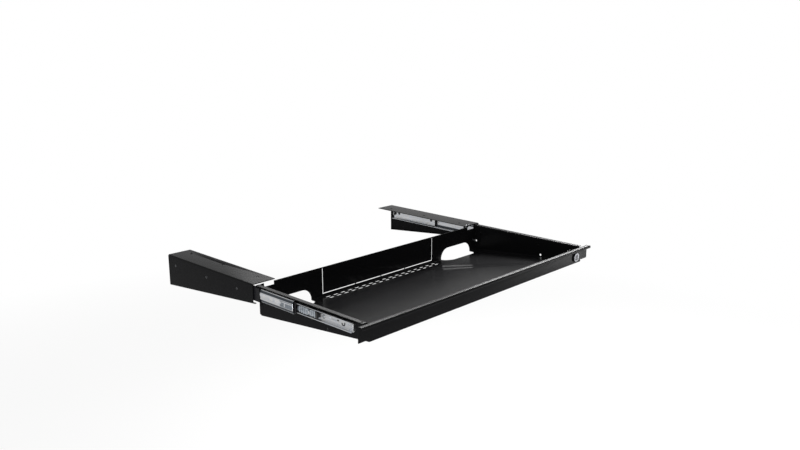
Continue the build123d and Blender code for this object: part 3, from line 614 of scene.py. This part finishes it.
for nodeName, rivet in rivets.items():
    places, length = [], 0.0
    for low, high in solidsOf(nodeName):
        centre = (low + high) / 2
        outward = Vector(rivet["outward"] or (math.copysign(1, centre.x), 0, 0))
        reach = abs(outward.dot(high - low)) / 2
        tailFace = centre - outward * (reach - rivet["cadTailMm"] * mm)
        length = 2 * reach - (rivet["cadTailMm"] + rivet["headMm"][1]) * mm
        places.append((tailFace, outward))
    tree = rivetTree(finishOfNode[nodeName])
    sizes = {"Head Radius": rivet["headMm"][0] * mm, "Head Height": rivet["headMm"][1] * mm,
             "Tail Radius": rivet["tailMm"][0] * mm, "Tail Height": rivet["tailMm"][1] * mm,
             "Shank Radius": rivet["shankMm"] * mm, "Length": length}
    mesh = growShapes(nodeName + "Domed", tree, places, sizes)
    if "blackInsideMm" in rivet:
        # their tails, the faces inside the tray, are drawn in the black coat
        mesh.materials.append(finishes["black_powder_coat"])
        wallInside = abs(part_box("left_inner_rail")[1].x) - rivet["blackInsideMm"] * mm
        for face in mesh.polygons:
            face.material_index = 1 if abs(face.center.x) < wallInside else 0
    addPiece(nodeName + "_domed", mesh, finishOfNode[nodeName], bodyOfNode[nodeName],
             [nodeName])
print("rivets set:", len(rivets), "groups")


# Balls

balls = {"nodes": ("outer_balls", "inner_balls"), "sides": 20, "rings": 12,
         "smoothBelowDeg": 60.0}


def ballTree(material):
    tree, given = newTree("ball", {"Radius": 0.002, "Sides": 20, "Rings": 12})
    ball = addNode(tree, "GeometryNodeMeshUVSphere", links={
        "Segments": given["Sides"], "Rings": given["Rings"], "Radius": given["Radius"]})
    smooth = addNode(tree, "GeometryNodeSetShadeSmooth", links={"Geometry": ball.outputs[0]})
    points = addNode(tree, "GeometryNodeMeshToPoints", links={"Mesh": given["Places"]})
    placed = addNode(tree, "GeometryNodeInstanceOnPoints", links={
        "Points": points.outputs[0], "Instance": smooth.outputs[0]})
    closeTree(tree, placed.outputs[0], material)
    return tree


for nodeName in balls["nodes"]:
    solids = solidsOf(nodeName)
    places = [((low + high) / 2, (0, 0, 1)) for low, high in solids]
    radius = (solids[0][1].y - solids[0][0].y) / 2
    tree = ballTree(finishOfNode[nodeName])
    sizes = {"Radius": radius, "Sides": balls["sides"], "Rings": balls["rings"]}
    mesh = growShapes(nodeName + "Ground", tree, places, sizes, balls["smoothBelowDeg"])
    addPiece(nodeName + "_ground", mesh, finishOfNode[nodeName], bodyOfNode[nodeName],
             [nodeName])
print("balls placed")


# Release levers: moulded ribs on the plate and a rubber grip on the finger tab

leverRibs = {"pitchMm": 4.8, "widthMm": 2.3, "heightMm": 0.8, "lengthMm": 11.4,
             "tabMm": 5.0, "fromFrontMm": 3.0, "fromBackMm": 2.0, "clearOfPinMm": 3.9,
             "faceMm": 1.3, "smoothBelowDeg": 50.0}
leverGrip = {"longMm": 4.4, "tallMm": 9.6, "thickMm": 0.3, "sunkMm": 0.3, "fromFrontMm": 0.3,
             "roundMm": 0.25}


def ribTree(material):
    # half-round ribs that stand upright on the plate's outer face
    tree, given = newTree("rib", {"Width": 0.0018, "Height": 0.0007, "Rib Length": 0.011,
                                  "Sides": 16})
    bar = addNode(tree, "GeometryNodeMeshCylinder", {"fill_type": "TRIANGLE_FAN", "Radius": 1.0},
                  {"Vertices": given["Sides"], "Depth": given["Rib Length"]})
    half = addNode(tree, "ShaderNodeMath", {"operation": "MULTIPLY", 1: 0.5}, {0: given["Width"]})
    flat = addNode(tree, "ShaderNodeCombineXYZ", {2: 1.0},
                   {0: given["Height"], 1: half.outputs[0]})
    shaped = addNode(tree, "GeometryNodeTransform", links={
        "Geometry": bar.outputs["Mesh"], "Scale": flat.outputs[0]})
    smooth = addNode(tree, "GeometryNodeSetShadeSmooth", links={"Geometry": shaped.outputs[0]})
    points = addNode(tree, "GeometryNodeMeshToPoints", links={"Mesh": given["Places"]})
    placed = addNode(tree, "GeometryNodeInstanceOnPoints", links={
        "Points": points.outputs[0], "Instance": smooth.outputs[0]})
    closeTree(tree, placed.outputs[0], material)
    return tree


def roundedBlock(name, low, high, roundMm, material):
    # a moulded block with eased edges
    shape = bmesh.new()
    bmesh.ops.create_cube(shape, size=1.0)
    for vert in shape.verts:
        vert.co = Vector([(low[axis] + high[axis]) / 2 + vert.co[axis] * (high[axis] - low[axis])
                          for axis in range(3)])
    bmesh.ops.bevel(shape, geom=shape.edges[:], offset=roundMm * mm, segments=3, profile=0.5,
                    affect="EDGES")
    bmesh.ops.recalc_face_normals(shape, faces=shape.faces)
    mesh = bpy.data.meshes.new(name)
    shape.to_mesh(mesh)
    shape.free()
    mesh.shade_smooth()
    mesh.materials.append(material)
    return mesh


pinSolids = solidsOf("lever_pins")
for side in ("left", "right"):
    sign = -1 if side == "left" else 1
    low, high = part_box(side + "_release_lever")
    pinY = sum(corner.y for corner in pinSolids[0]) / 2
    plateFront = low.y + leverRibs["tabMm"] * mm
    outer = (max(abs(low.x), abs(high.x)) - leverRibs["faceMm"] * mm) * sign
    middle = (low.z + high.z) / 2
    places = []
    ribY = plateFront + leverRibs["fromFrontMm"] * mm
    while ribY < high.y - leverRibs["fromBackMm"] * mm:
        if abs(ribY - pinY) > leverRibs["clearOfPinMm"] * mm:
            places.append(((outer, ribY, middle), (0, 0, 1)))
        ribY += leverRibs["pitchMm"] * mm
    sizes = {"Width": leverRibs["widthMm"] * mm, "Height": leverRibs["heightMm"] * mm,
             "Rib Length": leverRibs["lengthMm"] * mm}
    ribs = growShapes(side + "LeverRibs", ribTree(paleAcetal), places, sizes,
                      leverRibs["smoothBelowDeg"])
    addPiece(side + "_lever_ribs", ribs, paleAcetal, side + "_lever")
    tabOut = max(abs(low.x), abs(high.x))
    xs = sorted((sign * (tabOut - leverGrip["sunkMm"] * mm),
                 sign * (tabOut + leverGrip["thickMm"] * mm)))
    gripY = low.y + leverGrip["fromFrontMm"] * mm
    grip = roundedBlock(side + "LeverGrip",
                        (xs[0], gripY, middle - leverGrip["tallMm"] / 2 * mm),
                        (xs[1], gripY + leverGrip["longMm"] * mm,
                         middle + leverGrip["tallMm"] / 2 * mm),
                        leverGrip["roundMm"], finishes["rubber"])
    addPiece(side + "_lever_grip", grip, finishes["rubber"], side + "_lever")
print("lever ribs and grips moulded")


# Middle rails: a blue-grey plate on the web's front end, painted shade for the window into the
# channel, with a thin spring strip on it

# painted shade: the plate stands in for the shaded window through the web into the channel
windowShadePad = {"longMm": 33.0, "tallMm": 10.6, "thickMm": 0.18, "fromFrontMm": 1.6, "sunkMm": 0.3,
            "roundMm": 0.1}
catchSpring = {"footMm": 3.2, "footTallMm": 5.5, "pastPadMm": 0.6, "armTallMm": 1.3,
               "armInsetMm": (2.0, 1.0), "riseMm": 4.2, "standMm": 0.26}

for side in ("left", "right"):
    sign = -1 if side == "left" else 1
    low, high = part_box(side + "_middle_rail")
    webX = max(abs(low.x), abs(high.x))
    padFront = low.y + windowShadePad["fromFrontMm"] * mm
    padBack = padFront + windowShadePad["longMm"] * mm
    rootX = webX - windowShadePad["sunkMm"] * mm
    xs = sorted((sign * rootX, sign * (webX + windowShadePad["thickMm"] * mm)))
    pad = roundedBlock(side + "WindowShadePad", (xs[0], padFront, slideZ - windowShadePad["tallMm"] / 2 * mm),
                       (xs[1], padBack, slideZ + windowShadePad["tallMm"] / 2 * mm),
                       windowShadePad["roundMm"], windowShadeAcetal)
    addPiece(side + "_window_shade_pad", pad, windowShadeAcetal, "middle_rails")
    xs = sorted((sign * rootX, sign * (webX + catchSpring["standMm"] * mm)))
    top = slideZ + catchSpring["riseMm"] * mm
    frontInset, backInset = catchSpring["armInsetMm"]
    strips = {"foot": (padBack - catchSpring["footMm"] * mm,
                       padBack + catchSpring["pastPadMm"] * mm, catchSpring["footTallMm"]),
              "arm": (padFront + frontInset * mm, padBack - backInset * mm,
                      catchSpring["armTallMm"])}
    for part, (front, back, tall) in strips.items():
        strip = roundedBlock(side + "Catch" + part, (xs[0], front, top - tall * mm),
                             (xs[1], back, top), windowShadePad["roundMm"], finishes["zinc_plate"])
        addPiece(side + "_catch_" + part, strip, finishes["zinc_plate"], "middle_rails")
print("catch pads and springs placed")


# The keyhole's plate and the rails' hook wires, both near-black painted shade, and each inner
# rail's bright tongue

shadeBlack = {"dark": "#050506", "light": "#0c0c0e", "speckleMm": 1.0, "roughness": 0.5,
          "specular": 0.06}
shadePlate = {"wideMm": 4.0, "tallMm": 9.2, "thickMm": 0.5, "proudMm": 0.06, "roundMm": 0.05}
railTongue = {"middleMm": 51.0, "riseMm": 2.2, "longMm": 15.6, "tallMm": 2.5, "rootMm": 1.1,
              "sunkMm": 0.25, "roundMm": 0.2}
hookSlotShade = {"webMm": 1.2, "fromFrontMm": 28.0, "radiusMm": 3.2, "wireMm": 0.85, "startDeg": 150,
            "sweepDeg": 210, "steps": 22}


def paintedShadeBlack():
    # Near black with a dull shine: painted shade for the keyhole and for the inner rails'
    # hook-shaped slots.
    material, tree = newMaterial("paintedShadeBlack")
    where = addNode(tree, "ShaderNodeTexCoord").outputs["Object"]
    speckle = addNode(tree, "ShaderNodeTexNoise",
                   {"Scale": 1 / (shadeBlack["speckleMm"] * mm), "Detail": 2.0}, {"Vector": where})
    colour = addNode(tree, "ShaderNodeMix",
                     {"data_type": "RGBA", 6: linear(shadeBlack["dark"]), 7: linear(shadeBlack["light"])},
                     {0: speckle.outputs["Fac"]})
    shader = addNode(tree, "ShaderNodeBsdfPrincipled",
                     {"Metallic": 0.0, "Roughness": shadeBlack["roughness"],
                      "Specular IOR Level": shadeBlack["specular"]},
                     {"Base Color": colour.outputs[2]})
    addNode(tree, "ShaderNodeOutputMaterial", links={"Surface": shader.outputs[0]})
    return material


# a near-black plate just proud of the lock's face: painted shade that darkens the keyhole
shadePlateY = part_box("lock_plug")[0].y - shadePlate["proudMm"] * mm
paintedShade = paintedShadeBlack()
cover = roundedBlock("keyholeShadePlate",
                     (lockCentre.x - shadePlate["wideMm"] / 2 * mm, shadePlateY,
                      lockCentre.z - shadePlate["tallMm"] / 2 * mm),
                     (lockCentre.x + shadePlate["wideMm"] / 2 * mm, shadePlateY + shadePlate["thickMm"] * mm,
                      lockCentre.z + shadePlate["tallMm"] / 2 * mm), shadePlate["roundMm"], paintedShade)
addPiece("keyhole_shade_plate", cover, paintedShade, "lock_core")


def bentWire(name, points, wireMm, material):
    # a round wire along a line of points, as a plain mesh
    curve = bpy.data.curves.new(name, "CURVE")
    curve.dimensions = "3D"
    curve.bevel_depth = wireMm * mm
    curve.bevel_resolution = 3
    curve.use_fill_caps = True
    spline = curve.splines.new("POLY")
    spline.points.add(len(points) - 1)
    for point, place in zip(spline.points, points):
        point.co = (*place, 1.0)
    holder = bpy.data.objects.new(name, curve)
    bpy.context.scene.collection.objects.link(holder)
    bpy.context.view_layer.update()
    mesh = bpy.data.meshes.new_from_object(
        holder.evaluated_get(bpy.context.evaluated_depsgraph_get()))
    bpy.data.objects.remove(holder)
    mesh.materials.clear()
    mesh.materials.append(material)
    return mesh


for side in ("left", "right"):
    sign = -1 if side == "left" else 1
    low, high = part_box(side + "_inner_rail")
    # a near-black wire round the hook-shaped slot in the web: painted shade for the dark seen
    # through the slot, where the tray's black wall lies in shade
    webX = sign * (min(abs(low.x), abs(high.x)) + hookSlotShade["webMm"] * mm)
    centreY = low.y + hookSlotShade["fromFrontMm"] * mm
    points = []
    for step in range(hookSlotShade["steps"] + 1):
        angle = math.radians(hookSlotShade["startDeg"] + hookSlotShade["sweepDeg"] * step / hookSlotShade["steps"])
        points.append((webX, centreY + hookSlotShade["radiusMm"] * mm * math.cos(angle),
                       slideZ + hookSlotShade["radiusMm"] * mm * math.sin(angle)))
    tongueY = low.y + railTongue["middleMm"] * mm
    tongueZ = slideZ + railTongue["riseMm"] * mm
    xs = sorted((sign * (abs(webX) - railTongue["rootMm"] * mm),
                 sign * (abs(webX) - railTongue["sunkMm"] * mm)))
    tongue = roundedBlock(side + "RailTongue",
                          (xs[0], tongueY - railTongue["longMm"] / 2 * mm,
                           tongueZ - railTongue["tallMm"] / 2 * mm),
                          (xs[1], tongueY + railTongue["longMm"] / 2 * mm,
                           tongueZ + railTongue["tallMm"] / 2 * mm),
                          railTongue["roundMm"], finishes["zinc_plate"])
    addPiece(side + "_rail_tongue", tongue, finishes["zinc_plate"], "drawer")
    addPiece(side + "_hook_slot_shade", bentWire(side + "HookSlotShade", points, hookSlotShade["wireMm"], paintedShade),
             paintedShade, "drawer")
print("keyhole shutter, rail tongues and hooks placed")


# Floor, light and camera

studio = {"floorDrop": 0.70, "floorSize": 60.0, "floorColour": "#f4f4f3", "skyShare": 0.24,
          "shadowShare": 0.22, "shadowReach": (0.9, 2.4)}


def seenRay(tree):
    # camera, glossy and transmission rays see the plain white background
    path = addNode(tree, "ShaderNodeLightPath")
    seen = path.outputs["Is Camera Ray"]
    for kind in ("Is Glossy Ray", "Is Transmission Ray"):
        seen = addNode(tree, "ShaderNodeMath", {"operation": "MAXIMUM"},
                       {0: seen, 1: path.outputs[kind]}).outputs[0]
    return seen


def layFloor():
    # stands where a room's floor is, and keeps a soft shadow near the drawer
    half = studio["floorSize"] / 2
    mesh = bpy.data.meshes.new("floor")
    corners = [(-half, -half), (half, -half), (half, half), (-half, half)]
    mesh.from_pydata([(x, y, -studio["floorDrop"]) for x, y in corners], [], [(0, 1, 2, 3)])
    floor = bpy.data.objects.new("floor", mesh)
    bpy.context.scene.collection.objects.link(floor)
    material, tree = newMaterial("paleFloor")
    where = addNode(tree, "ShaderNodeTexCoord").outputs["Object"]
    distance = addNode(tree, "ShaderNodeVectorMath", {"operation": "LENGTH"},
                       {0: where}).outputs["Value"]
    near, far = studio["shadowReach"]
    share = addNode(tree, "ShaderNodeMapRange",
                    {"From Min": near, "From Max": far, "To Min": 1 - studio["shadowShare"]},
                    {"Value": distance}).outputs["Result"]
    glow = addNode(tree, "ShaderNodeMath", {"operation": "MULTIPLY"},
                   {0: share, 1: seenRay(tree)}).outputs[0]
    matt = addNode(tree, "ShaderNodeBsdfDiffuse", {"Color": linear(studio["floorColour"])})
    white = addNode(tree, "ShaderNodeEmission", {"Color": linear("#ffffff"), "Strength": 1.0})
    mix = addNode(tree, "ShaderNodeMixShader", links={0: glow, 1: matt.outputs[0],
                                                      2: white.outputs[0]})
    addNode(tree, "ShaderNodeOutputMaterial", links={"Surface": mix.outputs[0]})
    mesh.materials.append(material)


def lightSky():
    world = bpy.data.worlds.new("studio")
    bpy.context.scene.world = world
    world.use_nodes = True
    tree = world.node_tree
    tree.nodes.clear()
    soft = addNode(tree, "ShaderNodeBackground", {"Color": linear("#ffffff"),
                                                  "Strength": studio["skyShare"]})
    white = addNode(tree, "ShaderNodeBackground", {"Color": linear("#ffffff"), "Strength": 1.0})
    mix = addNode(tree, "ShaderNodeMixShader", links={0: seenRay(tree), 1: soft.outputs[0],
                                                      2: white.outputs[0]})
    addNode(tree, "ShaderNodeOutputWorld", links={"Surface": mix.outputs[0]})


softboxes = {
    "keyLight": {"place": (-1.2, -1.6, 1.7), "aim": (0.0, -0.25, 0.0),
                 "size": (1.2, 1.2), "watts": 16},
    "glowStrip": {"place": (1.22, 0.1, 0.4), "aim": (1.22, -0.42, -0.1),
                  "size": (1.2, 0.08), "watts": 14},
    "lipStrip": {"place": (1.15, 0.2, 0.85), "aim": (0.2, -0.43, 0.0),
                 "size": (1.5, 0.25), "watts": 36},
    "flangeStrip": {"place": (0.64, 0.88, 0.52), "aim": (-0.31, -0.28, 0.0),
                    "size": (0.5, 0.14), "watts": 1.2},
    "lowFill": {"place": (-1.7, -1.1, -0.2), "aim": (-0.1, -0.35, -0.02),
                "size": (1.0, 0.6), "watts": 22},
    "sideLight": {"place": (2.0, -1.6, -0.35), "aim": (0.3, -0.42, -0.02),
                  "size": (0.9, 0.5), "watts": 22},
}


def hangSoftboxes():
    for name, box in softboxes.items():
        lamp = bpy.data.lights.new(name, "AREA")
        lamp.shape = "RECTANGLE"
        lamp.size, lamp.size_y = box["size"]
        lamp.energy = box["watts"]
        holder = bpy.data.objects.new(name, lamp)
        bpy.context.scene.collection.objects.link(holder)
        holder.location = box["place"]
        away = Vector(box["place"]) - Vector(box["aim"])
        holder.rotation_euler = away.to_track_quat("Z", "Y").to_euler()


lens = {"focalMm": 35.80, "sensorMm": 36.0, "place": (-1.104, -1.2485, 0.434),
        "headingDeg": 46.295, "tiltDeg": 13.763}


def setUpCamera():
    camera = bpy.data.cameras.new("camera")
    camera.lens = lens["focalMm"]
    camera.sensor_width = lens["sensorMm"]
    camera.clip_start, camera.clip_end = 0.01, 100
    holder = bpy.data.objects.new("camera", camera)
    bpy.context.scene.collection.objects.link(holder)
    holder.location = lens["place"]
    holder.rotation_euler = Euler((math.radians(90 - lens["tiltDeg"]), 0,
                                   math.radians(-lens["headingDeg"])))
    bpy.context.scene.camera = holder


layFloor()
lightSky()
hangSoftboxes()
setUpCamera()
bpy.context.scene.view_settings.view_transform = "Standard"
print("studio set up")
